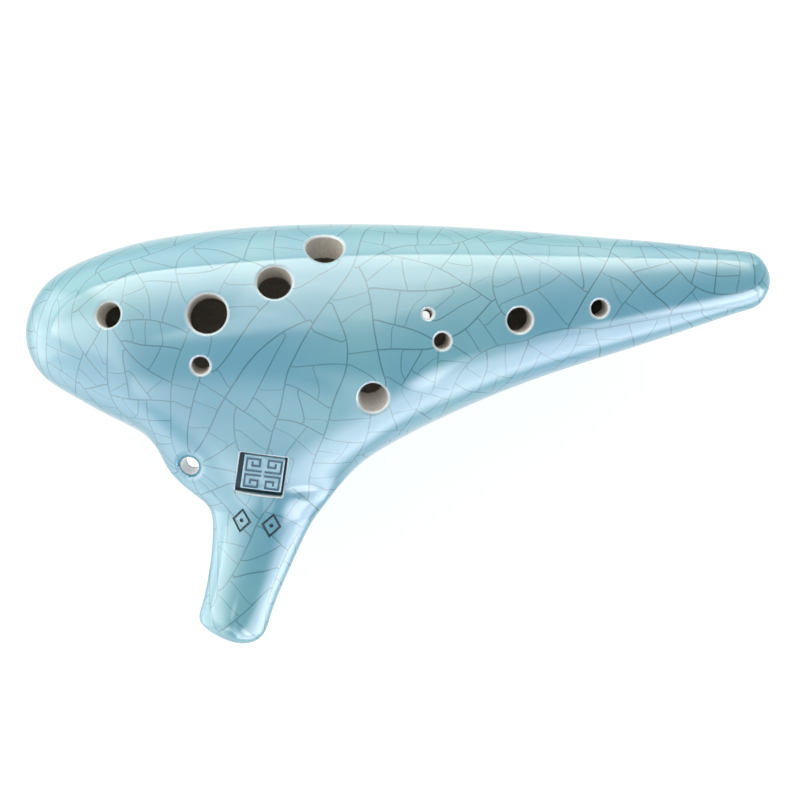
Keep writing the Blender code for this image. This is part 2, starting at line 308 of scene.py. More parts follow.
def halved(mesh, plane, side):
    """A copy of a closed bmesh cut by a frame's plane, with the side along its normal kept."""
    half = mesh.copy()
    normal = (plane.to_3x3() @ Vector(side)).normalized()
    made = bmesh.ops.bisect_plane(
        half,
        geom=[*half.verts, *half.edges, *half.faces],
        dist=1e-8,
        plane_co=plane.translation,
        plane_no=normal,
        clear_inner=True,
    )
    edges = [part for part in made["geom_cut"] if isinstance(part, bmesh.types.BMEdge)]
    bmesh.ops.edgeloop_fill(half, edges=edges)
    return half


# ---- Smooth forms, as the design makes them --------------------------------------------------


def section_ring(fullness, start, end, rise, drop):
    """Eight points round a section: from start, over the top to end, and back underneath."""
    centre = (Vector(start) + Vector(end)) / 2
    reach = (Vector(start) - Vector(end)) / 2
    ring = []
    for across, up in (
        (1, 0),
        (fullness, fullness),
        (0, 1),
        (-fullness, fullness),
        (-1, 0),
        (-fullness, -fullness),
        (0, -1),
        (fullness, -fullness),
    ):
        flat = centre + reach * across
        ring.append((flat.x, flat.y, up * (rise if up > 0 else drop)))
    return ring


def join_rings(mesh, first, second):
    """Quads between two rings of the same length."""
    for index, point in enumerate(first):
        following = (index + 1) % len(first)
        mesh.faces.new((point, first[following], second[following], second[index]))


def cap_ring(mesh, ring, pole):
    """Closes a ring of eight with four quads round a pole on the seam."""
    centre = mesh.verts.new((*pole, 0))
    for index in range(0, len(ring), 2):
        corners = ring[index], ring[index + 1], ring[(index + 2) % len(ring)]
        mesh.faces.new((centre, *corners))


def vessel_cage(body_sections, beak_sections, head_pole, tail_pole, beak_pole, columns):
    """The closed cage of a body with a beak growing out of its front."""
    mesh = bmesh.new()
    body, beak = (
        [[mesh.verts.new(point) for point in section_ring(fullness, *s)] for s in sections]
        for fullness, sections in ((FULLNESS, body_sections), (BEAK_FULLNESS, beak_sections))
    )
    for ring, following in zip(body, body[1:]):
        join_rings(mesh, ring, following)
    left, middle, right = (body[column] for column in columns)
    root = [left[4], left[3], middle[3], right[3], right[4], right[5], middle[5], left[5]]
    mesh.verts.remove(middle[4])  # the faces that the beak opens go with it
    for ring, following in zip([root, *beak], beak):
        join_rings(mesh, ring, following)
    cap_ring(mesh, body[0], head_pole)
    cap_ring(mesh, body[-1], tail_pole)
    cap_ring(mesh, beak[-1], beak_pole)
    mesh.transform(PLACE)
    return mesh


def inset(section):
    """The section of the hollow inside a section of the body."""
    start, end, rise, drop = section
    inward = (Vector(end) - Vector(start)).normalized() * WALL
    return Vector(start) + inward, Vector(end) - inward, rise - WALL, drop - WALL


def smooth_form(cage, levels):
    """A closed bmesh whose smooth surface passes through the cage's own points."""
    form = object_from("form", cage)
    smooth = form.modifiers.new("smooth", "SUBSURF")
    smooth.levels = 1
    points = form.data.vertices
    wanted = [point.co.copy() for point in points]
    for _ in range(SETTLING_ROUNDS):
        now = evaluated_mesh(form)
        for point, aim, reached in zip(points, wanted, now.vertices):
            point.co += aim - reached.co
        bpy.data.meshes.remove(now)
    smooth.levels = levels
    mesh = bmesh.new()
    mesh.from_mesh(evaluated_mesh(form))
    bpy.data.objects.remove(form)
    return mesh


def vessel_form():
    cage = vessel_cage(
        BODY_SECTIONS, BEAK_SECTIONS, HEAD_POLE, TAIL_POLE, BEAK_POLE, BEAK_COLUMNS
    )
    mesh = smooth_form(cage, SKIN_LEVELS)
    for point in mesh.verts:  # the belly is flat where it meets the table
        height = point.co.z
        point.co.z = (height + sqrt(height**2 + FOOT_EASE**2)) / 2
    mesh.normal_update()
    return mesh


def chamber_form():
    cage = vessel_cage(
        [inset(section) for section in BODY_SECTIONS[CHAMBER_COLUMNS]],
        CHAMBER_NECK,
        CHAMBER_HEAD_POLE,
        CHAMBER_TAIL_POLE,
        CHAMBER_NECK_POLE,
        [column - CHAMBER_COLUMNS.start for column in BEAK_COLUMNS],
    )
    return smooth_form(cage, HOLLOW_LEVELS)


class Skin:
    """The outer surface of the whole vessel, before anything is cut out of it."""

    def __init__(self, form):
        self.normals = np.array([point.normal for point in form.verts])
        form.verts.index_update()
        loops = form.calc_loop_triangles()
        self.points = np.array([point.co for point in form.verts])
        self.corners = np.array([[loop.vert.index for loop in face] for face in loops])
        self.tree = BVHTree.FromPolygons(self.points.tolist(), self.corners.tolist())

    def nearest(self, point):
        """The nearest place on the skin and its distance."""
        place, _, _, gap = self.tree.find_nearest(point)
        return place, gap

    def normal(self, point):
        """The smooth normal at the nearest place on the skin."""
        place, _, face, _ = self.tree.find_nearest(point)
        corners = self.corners[face]
        first, second, third = self.points[corners]
        along, across, reach = second - first, third - first, np.array(place) - first
        aa, ab, bb = along @ along, along @ across, across @ across
        ra, rb = reach @ along, reach @ across
        spread = aa * bb - ab * ab
        v = (bb * ra - ab * rb) / spread
        w = (aa * rb - ab * ra) / spread
        return Vector(np.array([1 - v - w, v, w]) @ self.normals[corners]).normalized()

    def meet(self, start, heading):
        """Where a ray first meets the skin."""
        return self.tree.ray_cast(start, heading)[0]

    def frame(self, x, y, side):
        """A frame on the skin over x, y, above or below, with Z along the outward normal."""
        place = self.meet(PLACE @ Vector((x, y, side * FAR)), Vector((0, 0, -side)))
        turn = Vector((0, 0, 1)).rotation_difference(self.normal(place))
        return Matrix.Translation(place) @ turn.to_matrix().to_4x4() @ Matrix.Scale(MM, 4)


# ---- Frames, cutters and openings ------------------------------------------------------------


def frame_along(start, end):
    """A frame at end whose Y runs on from start and whose X is level."""
    along = (Vector(end) - Vector(start)).normalized()
    across = along.cross(Vector((0, 0, 1))).normalized()
    turn = Matrix((across, along, across.cross(along))).transposed().to_4x4()
    return PLACE @ Matrix.Translation(end) @ turn


def leaning(where, angle):
    """The frame turned about its origin so that its Z leans further from the upright."""
    turn = where.to_3x3().normalized()
    across = turn.inverted() @ Vector((0, 0, 1)).cross(turn.col[2])
    return where @ Matrix.Rotation(angle, 4, across)


def block(low, high, where):
    """A box between two corners, in a frame's own axes."""
    low, high = Vector(low), Vector(high)
    size = Matrix.Diagonal((*(high - low), 1))
    mesh = bmesh.new()
    bmesh.ops.create_cube(mesh, matrix=where @ Matrix.Translation((low + high) / 2) @ size)
    return mesh


def drill(diameter, depth, where):
    """A cylinder along a frame's Z, centred on its origin."""
    mesh = bmesh.new()
    bmesh.ops.create_cone(
        mesh,
        cap_ends=True,
        segments=ROUND_SIDES,
        radius1=diameter / 2,
        radius2=diameter / 2,
        depth=depth,
        matrix=where,
    )
    return mesh


def prism(outline, low, high, where):
    """An outline of flat points raised from low to high."""
    mesh = bmesh.new()
    rings = [
        [mesh.verts.new(where @ Vector((x, y, z))) for x, y in outline] for z in (low, high)
    ]
    join_rings(mesh, *rings)
    for ring in rings:
        mesh.faces.new(ring)
    return mesh


def windway_passage():
    """A box along the windway that narrows from the mouth to the exit."""
    length = (Vector(NECK) - Vector(WINDWAY_MOUTH)).length
    near, far = -length - WINDWAY_RUN_OUT, WINDWAY_EXIT_SIZE[1]
    mesh = bmesh.new()
    bmesh.ops.create_cube(mesh, size=1)
    for point in mesh.verts:
        at_mouth = point.co.y < 0
        width, height = WINDWAY_MOUTH_SIZE if at_mouth else WINDWAY_EXIT_SIZE
        point.co = (point.co.x * width, near if at_mouth else far, point.co.z * height)
    mesh.transform(windway_frame)
    return mesh


class Opening:
    """A hole or recess with a rounded lip. Its outline is a rounded rectangle in the XY plane
    of its frame: a core rectangle, of no size in a round hole, with a corner radius round it.
    """

    def __init__(self, where, corner, core=(0, 0), inside=INSIDE, lip=HOLE_LIP):
        self.frame = where
        self.back = where.inverted()
        self.turn = where.to_3x3()
        self.corner = corner
        self.core = core
        self.inside = inside
        self.lip = lip

    def stations(self):
        """Places round the outline: a point of the core and the way out from it."""
        quarter = ROUND_SIDES // 4
        x, y = self.core
        corners = [Vector(corner) for corner in ((x, y), (-x, y), (-x, -y), (x, -y))]
        found = []
        for turn, anchor in enumerate(corners):
            run = corners[(turn + 1) % 4] - anchor
            pieces = max(1, round(run.length / STRAIGHT_STEP))
            for step in range(quarter):
                angle = (turn + step / quarter) * pi / 2
                found.append((anchor, Vector((cos(angle), sin(angle)))))
            if run.length:
                angle = (turn + 1) * pi / 2
                way = Vector((cos(angle), sin(angle)))
                found += [(anchor + run * step / pieces, way) for step in range(pieces)]
        return found

    def ring(self, offset, depth=None, height=None):
        """Points round the outline at a depth under the skin, or at a height in the frame."""
        made = []
        for anchor, way in self.stations():
            x, y = anchor + way * (self.corner + offset)
            if height is None:
                start = self.frame @ Vector((x, y, OUTSIDE))
                met = skin.meet(start, self.turn @ Vector((0, 0, -1)))
                z = (self.back @ met).z - depth
            else:
                z = height
            made.append(self.frame @ Vector((x, y, z)))
        return made

    def cutter(self):
        """A closed mesh that cuts the hole and rounds its lip, following the skin."""
        rings = [self.ring(self.lip, height=OUTSIDE)]
        for step in range(LIP_STEPS + 1):
            angle = step / LIP_STEPS * pi / 2
            depth = LIP_START + self.lip * LIP_FALL * (1 - cos(angle))
            rings.append(self.ring(self.lip * (1 - sin(angle)), depth=depth))
        rings.append(self.ring(0, height=-self.inside))
        mesh = bmesh.new()
        rings = [[mesh.verts.new(point) for point in ring] for ring in rings]
        for first, second in zip(rings, rings[1:]):
            join_rings(mesh, first, second)
        mesh.faces.new(rings[0])
        mesh.faces.new(rings[-1])
        return mesh

    def look(self, point):
        """A point's distance out from the outline, the way out there, and its height."""
        x, y, z = self.back @ Vector(point)
        over = Vector((abs(x) - self.core[0], abs(y) - self.core[1]))
        over = Vector((max(over.x, 0), max(over.y, 0)))
        way = Vector((over.x * (1 if x > 0 else -1), over.y * (1 if y > 0 else -1), 0))
        out = (self.turn @ way).normalized()
        return over.length - self.corner, out, z


def lug_openings():
    """The lanyard hole's two ends. Its axis drifts towards the body as it sinks."""
    axis = Vector((-LUG_HOLE_DRIFT[0], -LUG_HOLE_DRIFT[1], 1))
    turn = Vector((0, 0, 1)).rotation_difference(axis).to_matrix().to_4x4()
    upright = PLACE @ Matrix.Translation((*LUG_HOLE, 0)) @ turn
    ends = []
    for way, inside in ((upright, FAR / 4), (upright @ Matrix.Rotation(pi, 4, "X"), LUG_LIP)):
        met = skin.meet(way @ Vector((0, 0, FAR)), way.to_3x3() @ Vector((0, 0, -1)))
        where = way @ Matrix.Translation((0, 0, (way.inverted() @ met).z))
        ends.append(Opening(where, LUG_HOLE_DIAMETER / 2, inside=inside, lip=LUG_LIP))
    return ends


def make_openings():
    """Every opening with a rounded lip, by the piece that it is cut in."""
    holes = {}
    for side, sizes in ((1, FINGER_HOLES), (-1, THUMB_HOLES)):
        holes[side] = [
            Opening(leaning(skin.frame(x, y, side), HOLE_LEANS.get(name, 0)), size / 2)
            for name, (x, y, size) in sizes.items()
        ]
    recess = [side / 2 - SEAL_CORNER for side in SEAL_RECESS]
    mouth = [side / 2 - MOUTH_LIP for side in WINDWAY_MOUTH_SIZE]
    face = windway_frame @ Matrix.Translation((0, -windway_length, 0))
    face = face @ Matrix.Rotation(pi / 2, 4, "X")
    mouth_opening = Opening(face, MOUTH_LIP, mouth, MOUTH_LIP * 2, MOUTH_LIP)
    return {
        "upper_shell": [
            *holes[1],
            Opening(seal_frame, SEAL_CORNER, recess, SEAL_DEPTH, SEAL_LIP),
        ],
        "lower_shell": holes[-1],
        "mouthpiece_roof": [mouth_opening],
        "mouthpiece_floor": [mouth_opening],
        "lanyard_lug": lug_openings(),
        "voicing_blade": [],
    }


def lozenge(width, height):
    return ((width, 0), (0, height), (-width, 0), (0, -height))


def mark_cutters():
    """Two lozenges, each a groove round a dot, pressed into the roof of the mouthpiece."""
    cutters = []
    for x, y in MARK_CENTRES:
        where = skin.frame(x, y, 1) @ Matrix.Rotation(MARK_TURN, 4, "Z")
        outer = object_from("mark", prism(lozenge(*MARK_SIZE), -MARK_DEPTH, 1, where))
        slim = [side - MARK_STROKE * sqrt(2) for side in MARK_SIZE]
        cut(outer, [prism(lozenge(*slim), -2 * MARK_DEPTH, 2, where)])
        ring = bmesh.new()
        ring.from_mesh(outer.data)
        bpy.data.objects.remove(outer)
        cutters += [ring, drill(2 * MARK_DOT, 2 * MARK_DEPTH, where)]
    return cutters


# ---- The crackle -----------------------------------------------------------------------------


class PlaceBook:
    def __init__(self, side):
        self.side = side
        self.cubes = {}

    def cube(self, point):
        return tuple(int(value // self.side) for value in point)

    def add(self, point, owner):
        self.cubes.setdefault(self.cube(point), []).append((point, owner))

    def nearest(self, point, owner):
        """The nearest point of any other owner, within a cube's side, and its distance."""
        best, found = self.side, None
        i, j, k = self.cube(point)
        for x in (i - 1, i, i + 1):
            for y in (j - 1, j, j + 1):
                for z in (k - 1, k, k + 1):
                    for other, whose in self.cubes.get((x, y, z), ()):
                        if whose != owner and (other - point).length < best:
                            best, found = (other - point).length, other
        return found, best


def rim_points():
    """Points round every opening, where a crack in the glaze ends."""
    points = []
    for openings in all_openings.values():
        for opening in openings:
            around = opening.ring(RIM_CLEARANCE, depth=0)
            spacing = (around[1] - around[0]).length / MM
            points += around[:: max(1, round(RIM_STEP / spacing))]
    return points


def grow(book, start, heading, owner, steps, chance):
    """One arm of a crack: it wanders over the skin until it meets another crack or a rim."""
    trail = [start]
    bend = chance.gauss(0, 0.02)
    drift = 0.0
    for _ in range(steps):
        place = trail[-1]
        normal = skin.normal(place)
        heading = (heading - normal * heading.dot(normal)).normalized()
        drift = 0.85 * drift + chance.gauss(0, 0.022)
        heading = Quaternion(normal, bend + drift) @ heading
        other, gap = book.nearest(place, owner)
        if other and gap < CRACK_STEP * 1.15:
            trail.append(other)
            break
        if other:
            towards = (other - place) / gap
            if heading.dot(towards) > -0.2:
                pull = 0.55 * (1 - gap / CATCH)
                heading = (heading * (1 - pull) + towards * pull).normalized()
        trail.append(skin.nearest(place + heading * CRACK_STEP)[0])
    return trail


def crack_network():
    """The crackle as trails of points on the skin, each with its width and its strength.

    Cracks start one after another in the middle of the widest piece of whole glaze. The
    first ones run far. A later one crosses its piece the short way and meets its neighbours
    squarely, which leaves mostly four-sided cells.
    """
    chance = random.Random(CRACK_SEED)
    spots = skin.points[:: max(1, len(skin.points) // 9000)]
    swells = [(Vector([chance.gauss(0, 1) for _ in range(3)]), chance.uniform(0, 2 * pi))
              for _ in range(4)]
    wanted = np.ones(len(spots))
    for way, phase in swells:
        wanted += CELL_SPREAD / 2 * np.sin(spots @ np.array(way.normalized()) / 0.009 + phase)
    beak = spots[:, 1] < (PLACE @ Vector(NECK)).y
    wanted[beak] *= BEAK_CELLS
    wanted *= CELL_REACH
    book = PlaceBook(CATCH)
    taken = rim_points()
    for point in taken:
        book.add(point, -1)
    room = np.full(len(spots), 1.0)
    trails = []

    def close_in(points):
        for index in range(0, len(points), 40):
            some = np.array(points[index : index + 40])
            apart = np.linalg.norm(spots[:, None] - some[None], axis=2).min(axis=1)
            np.minimum(room, apart, out=room)

    close_in(taken)
    while True:
        share = room / wanted
        widest = int(np.argmax(share))
        if share[widest] < 1:
            return trails
        start = Vector(spots[widest])
        normal = skin.normal(start)
        first = len(trails) < FIRST_CRACKS
        if first:
            heading = Vector((chance.gauss(0, 0.22), chance.gauss(0, 0.22), 0))
            heading[len(trails) % 2] = 1
        else:
            gaps = np.linalg.norm(np.array(taken) - spots[widest], axis=1)
            heading = taken[int(np.argmin(gaps))] - start
            heading = Quaternion(normal, chance.gauss(0, 0.3)) @ heading
        owner = len(trails)
        steps = FIRST_STEPS if first else LATER_STEPS
        arms = [
            grow(book, start, heading * way, owner, steps, chance) for way in (1, -1)
        ]
        trail = arms[1][:0:-1] + arms[0]
        age = 1 if first else max(0.0, 1 - owner / 700)
        width = (0.24 + 0.08 * age) * chance.uniform(0.85, 1.15) * MM
        trails.append((trail, width, (0.62 + 0.16 * age) * chance.uniform(0.75, 1.1)))
        for point in trail:
            book.add(point, owner)
        taken += trail
        close_in(trail)


def crack_stretches(trails):
    """Straight stretches of every crack: start, end, width, strength."""
    stretches = []
    for trail, width, strength in trails:
        stretches += [(a, b, width, strength) for a, b in zip(trail, trail[1:])]
    return stretches


def lay_cracks(mesh):
    """Writes on each face the stretches of crack that come near it."""
    count = len(mesh.polygons)
    starts = np.zeros((CRACK_SLOTS, count, 3), np.float32)
    ends = np.zeros((CRACK_SLOTS, count, 3), np.float32)
    ends[:] = (0, 0, MM)
    strengths = np.zeros((CRACK_SLOTS, count, 3), np.float32)
    for face in mesh.polygons:
        centre = face.center
        reach = max((mesh.vertices[index].co - centre).length for index in face.vertices)
        near = []
        for _, index, _ in crack_tree.find_range(centre, reach + 1.6 * CRACK_STEP):
            start, end, width, strength = stretches[index]
            run = end - start
            along = (centre - start).dot(run) / run.length_squared if run.length else 0
            gap = (centre - start - run * min(1, max(0, along))).length
            if gap < reach + width:
                near.append((gap, index))
        for slot, (_, index) in enumerate(sorted(near)[:CRACK_SLOTS]):
            start, end, width, strength = stretches[index]
            starts[slot, face.index] = start
            ends[slot, face.index] = end
            strengths[slot, face.index] = (width, strength, 0)
    for slot in range(CRACK_SLOTS):
        for name, values in (("start", starts), ("end", ends), ("ink", strengths)):
            attribute = mesh.attributes.new(f"crack_{name}_{slot}", "FLOAT_VECTOR", "FACE")
            attribute.data.foreach_set("vector", values[slot].ravel())


# ---- Pieces ----------------------------------------------------------------------------------


def surface_details(mesh, openings):
    """For each point of a cut mesh: its smooth normal, and three shares from 0 to 1. thin is
    where the glaze draws back on a lip, bare is unglazed clay, and the third share marks a
    groove painted near-black: partly glaze pooled in it, partly painted shade.
    """
    normals = [None] * len(mesh.vertices)
    shares = {name: np.zeros(len(mesh.vertices), np.float32) for name in SHARES}
    for index, point in enumerate(mesh.vertices):
        gap = skin.nearest(point.co)[1]
        if gap < SKIN_NEAR:
            normals[index] = skin.normal(point.co)
        elif gap > LIP_DEEPEST:
            shares["bare"][index] = 1
        # the marks' grooves take the near-black groove colour: pooled glaze and painted shade
        if SKIN_NEAR < gap < MARK_DEEPEST and near_mark(point.co):
            shares["pooling_and_painted_shade"][index] = 1
            shares["bare"][index] = 0
        for opening in openings:
            out, way, height = opening.look(point.co)
            if out > opening.lip + LIP_START or not -opening.inside * 1.01 < height < OUTSIDE:
                continue
            seal_recess_shaded = opening.frame == seal_frame
            glazed = opening.lip == LUG_LIP
            if gap < opening.lip * LIP_FALL * MM + SKIN_NEAR:
                rounding = min(1, max(0, 1 - out / opening.lip))
                straight = skin.normal(point.co) * sqrt(1 - rounding**2)
                normals[index] = straight - way * rounding
                shares["thin"][index] = 0 if glazed else rounding
                shares["bare"][index] = rounding > BARE_FROM and not (seal_recess_shaded or glazed)
            elif seal_recess_shaded or glazed:
                # the seal recess's walls and floor are painted near-black: pooled glaze and painted
                # shade
                shares["pooling_and_painted_shade"][index] = seal_recess_shaded
                shares["bare"][index] = 0
    return normals, shares


def near_mark(point):
    return any(
        (PLACE.inverted() @ point - Vector((*centre, 0))).xy.length < max(MARK_SIZE) + 1
        for centre in MARK_CENTRES
    )


def dress(piece, openings):
    """Smooth shading, the shares that its material reads and the cracks that cross it."""
    mesh = piece.data
    mesh.shade_smooth()
    mesh.set_sharp_from_angle(angle=SHARP)
    normals, shares = surface_details(mesh, openings)
    for name, values in shares.items():
        mesh.attributes.new(name, "FLOAT", "POINT").data.foreach_set("value", values)
    lay_cracks(mesh)
    corner_normals = [Vector((0, 0, 0))] * len(mesh.loops)
    for face in mesh.polygons:
        found = [normals[index] for index in face.vertices]
        if None in found:
            continue
        if face.area > SLIVER and face.normal.dot(sum(found, Vector())) < 0.5 * len(found):
            continue
        for loop, normal in zip(face.loop_indices, found):
            corner_normals[loop] = normal.normalized()
    mesh.normals_split_custom_set(corner_normals)


def add_piece(name, thing, node, material):
    """Names a fine piece, gives it its material and puts it in place of its CAD node."""
    thing.name = thing.data.name = name
    thing.data.materials.clear()
    thing.data.materials.append(material)
    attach(thing, "root")
    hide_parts(node)
    return thing


def build_glazed_pieces(material):
    body, beak = halved(vessel, neck_frame, (0, 1, 0)), halved(vessel, neck_frame, (0, -1, 0))
    seam = Matrix.Translation(PLACE.translation)
    lug_room = PLACE @ Matrix.Translation((*LUG_CENTRE, 0))
    slot = block(
        (-VOICING_WIDTH / 2, 0, -FAR),
        (VOICING_WIDTH / 2, WINDOW_LENGTH + BLADE_LENGTH, VOICING_TOP),
        neck_frame,
    )
    shapes = {
        "upper_shell": (
            halved(body, seam, (0, 0, 1)),
            [chamber_form(), drill(LUG_DIAMETER, FAR, lug_room)],
        ),
        "lower_shell": (
            halved(body, seam, (0, 0, -1)),
            [chamber_form(), drill(LUG_DIAMETER, FAR, lug_room), slot],
        ),
        "mouthpiece_roof": (
            halved(beak, windway_frame, (0, 0, 1)),
            [windway_passage(), *mark_cutters()],
        ),
        "mouthpiece_floor": (halved(beak, windway_frame, (0, 0, -1)), [windway_passage()]),
        "lanyard_lug": (body.copy(), []),
    }
    for node, (shape, tools) in shapes.items():
        piece = object_from(node, shape)
        if node == "lanyard_lug":
            cut(piece, [drill(LUG_DIAMETER, FAR, lug_room)], "INTERSECT")
        tools += [opening.cutter() for opening in all_openings[node]]
        cut(piece, tools)
        dress(piece, all_openings[node])
        add_piece(f"glazed_{node}", piece, node, material)
    body.free()
    beak.free()


def fret_strokes():
    """Blocks along the strokes of four frets that stand in the tile's quarters."""
    blocks = []
    width, height = FRET_CELL
    low, high = SEAL_TILE_TOP - 2 * FRET_RISE, SEAL_TILE_TOP + FRET_RISE
    for across in (-1, 1):
        for up in (-1, 1):
            corner = Vector(SEAL_TILE_SHIFT) + Vector((across, up)) * FRET_MARGIN
            path = [
                corner + Vector((across * x * width, up * y * height)) for x, y in FRET_PATH
            ]
            for start, end in zip(path, path[1:]):
                half = FRET_STROKE / 2
                first = (min(start.x, end.x) - half, min(start.y, end.y) - half, low)
                last = (max(start.x, end.x) + half, max(start.y, end.y) + half, high)
                blocks.append(block(first, last, seal_frame))
    return blocks


def build_seal_tile(material):
    """The stamped tile: a slab with softened edges and raised frets."""
    half, middle = Vector(SEAL_TILE) / 2, Vector(SEAL_TILE_SHIFT)
    low, high = (*(middle - half), SEAL_TILE_FOOT), (*(middle + half), SEAL_TILE_TOP)
    slab = block(low, high, seal_frame)
    bmesh.ops.bevel(
        slab,
        geom=[*slab.verts, *slab.edges],
        offset=SEAL_EASE,
        offset_type="OFFSET",
        segments=3,
        profile=0.5,
        affect="EDGES",
    )
    tile = object_from("seal", slab)
    cut(tile, fret_strokes(), "UNION")
    mesh = tile.data
    mesh.shade_smooth()
    mesh.set_sharp_from_angle(angle=SHARP)
    back = seal_frame.inverted()
    raised = [float((back @ point.co).z > SEAL_TILE_TOP + FRET_RISE / 2) for point in mesh.vertices]
    mesh.attributes.new("raised", "FLOAT", "POINT").data.foreach_set("value", raised)
    add_piece("stamped_seal_tile", tile, "seal_tile", material)


def build_blade(material):
    """The bare clay edge that the wind strikes, with its corners eased."""
    plain = bpy.data.objects["voicing_blade"]
    mesh = bmesh.new()
    mesh.from_mesh(plain.data)
    mesh.transform(plain.matrix_world)
    bmesh.ops.remove_doubles(mesh, verts=mesh.verts, dist=SKIN_NEAR / 10)
    bmesh.ops.dissolve_limit(mesh, angle_limit=radians(1), verts=mesh.verts, edges=mesh.edges)
    blade = object_from("blade", mesh)
    ease = blade.modifiers.new("ease", "BEVEL")
    ease.width = BLADE_EASE
    ease.segments = 3
    blade.data = evaluated_mesh(blade)
    blade.modifiers.clear()
    blade.data.shade_smooth()
    blade.data.set_sharp_from_angle(angle=SHARP)
    add_piece("clay_voicing_blade", blade, "voicing_blade", material)


# ---- Materials -------------------------------------------------------------------------------


class Nodes:
    """Short names for building one node tree."""

    def __init__(self, tree):
        tree.nodes.clear()
        self.tree = tree

    def feed(self, socket, value):
        if isinstance(value, bpy.types.NodeSocket):
            self.tree.links.new(value, socket)
        else:
            socket.default_value = value

    def new(self, kind, inputs=(), **settings):
        node = self.tree.nodes.new(kind)
        for name, value in settings.items():
            setattr(node, name, value)
        for name, value in dict(inputs).items():
            self.feed(node.inputs[name], value)
        return node

    def math(self, operation, *values, clamp=False):
        node = self.new("ShaderNodeMath", operation=operation, use_clamp=clamp)
        for socket, value in zip(node.inputs, values):
            self.feed(socket, value)
        return node.outputs[0]

    def vector(self, operation, *values):
        node = self.new("ShaderNodeVectorMath", operation=operation)
        for socket, value in zip(node.inputs, values):
            self.feed(socket, value)
        return node.outputs["Value" if operation in ("DOT_PRODUCT", "LENGTH") else "Vector"]

    def scaled(self, vector, by):
        node = self.new("ShaderNodeVectorMath", operation="SCALE")
        self.feed(node.inputs[0], vector)
        self.feed(node.inputs["Scale"], by)
        return node.outputs["Vector"]

    def step(self, value, low, high):
        """Rises smoothly from 0 at low to 1 at high."""
        inputs = {"Value": value, "From Min": low, "From Max": high}
        node = self.new("ShaderNodeMapRange", inputs, interpolation_type="SMOOTHSTEP")
        return node.outputs["Result"]

    def span(self, value, low, high, to_low, to_high):
        """Runs evenly from to_low at low to to_high at high."""
        inputs = {"Value": value, "From Min": low, "From Max": high}
        inputs.update({"To Min": to_low, "To Max": to_high})
        return self.new("ShaderNodeMapRange", inputs).outputs["Result"]

    def mix(self, share, first, second):
        node = self.new("ShaderNodeMix", data_type="RGBA")
        for index, value in ((0, share), (6, first), (7, second)):
            self.feed(node.inputs[index], value)
        return node.outputs[2]

    def noise(self, place, size, detail=2.0, roughness=0.5):
        """A cloudy value round 0.5 whose swells are about size metres wide."""
        inputs = {"Vector": place, "Scale": 1 / size, "Detail": detail}
        inputs["Roughness"] = roughness
        return self.new("ShaderNodeTexNoise", inputs).outputs[0]

    def value(self, name):
        return self.new("ShaderNodeAttribute", attribute_name=name).outputs["Fac"]

    def triple(self, name):
        return self.new("ShaderNodeAttribute", attribute_name=name).outputs["Vector"]

    def place(self):
        return self.new("ShaderNodeTexCoord").outputs["Object"]


def new_material(name):
    material = bpy.data.materials.new(name)
    material.use_nodes = True
    return material, Nodes(material.node_tree)


def crack_ink(nodes, place):
    """How much of the dark line in a crack shows at a place, from 0 to 1."""
    total = 0.0
    for slot in range(CRACK_SLOTS):
        start = nodes.triple(f"crack_start_{slot}")
        run = nodes.vector("SUBTRACT", nodes.triple(f"crack_end_{slot}"), start)
        reach = nodes.vector("SUBTRACT", place, start)
        along = nodes.math(
            "DIVIDE",
            nodes.vector("DOT_PRODUCT", reach, run),
            nodes.vector("DOT_PRODUCT", run, run),
            clamp=True,
        )
        offset = nodes.vector("SUBTRACT", reach, nodes.scaled(run, along))
        gap = nodes.vector("LENGTH", offset)
        ink = nodes.new("ShaderNodeSeparateXYZ", {0: nodes.triple(f"crack_ink_{slot}")})
        width, strength = ink.outputs[0], ink.outputs[1]
        line = nodes.step(gap, nodes.math("MULTIPLY", width, 0.72), nodes.math("MULTIPLY", width, 0.3))
        total = nodes.math("MAXIMUM", total, nodes.math("MULTIPLY", line, strength))
    return total


def clay_colour(nodes, place):
    """Buff clay and the grain in it."""
    grain = nodes.noise(place, 0.0006, detail=4.0, roughness=0.6)
    return nodes.mix(nodes.step(grain, 0.3, 0.7), DARK_CLAY, LIGHT_CLAY), grain


def clay_material():
    material, nodes = new_material("bare_clay")
    clay, grain = clay_colour(nodes, nodes.place())
    bump = nodes.new("ShaderNodeBump", {"Strength": 0.25, "Distance": 0.00005, "Height": grain})
    shader = nodes.new(
        "ShaderNodeBsdfPrincipled",
        {"Base Color": clay, "Roughness": 0.8, "Normal": bump.outputs[0]},
    )
    nodes.new("ShaderNodeOutputMaterial", {"Surface": shader.outputs[0]})
    return material


def seal_material():
    """A pale glazed tile with blue colour on its raised frets."""
    material, nodes = new_material("seal_glaze")
    place = nodes.place()
    cloud = nodes.step(nodes.noise(place, 0.0016, detail=3.0), 0.35, 0.7)
    ground = nodes.mix(cloud, SEAL_PALE, SEAL_SHADE)
    stroke = nodes.mix(cloud, SEAL_BLUE, SEAL_WORN)
    colour = nodes.mix(nodes.value("raised"), ground, stroke)
    shader = nodes.new(
        "ShaderNodeBsdfPrincipled", {"Base Color": colour, "Roughness": 0.25, "IOR": 1.5}
    )
    nodes.new("ShaderNodeOutputMaterial", {"Surface": shader.outputs[0]})
    return material


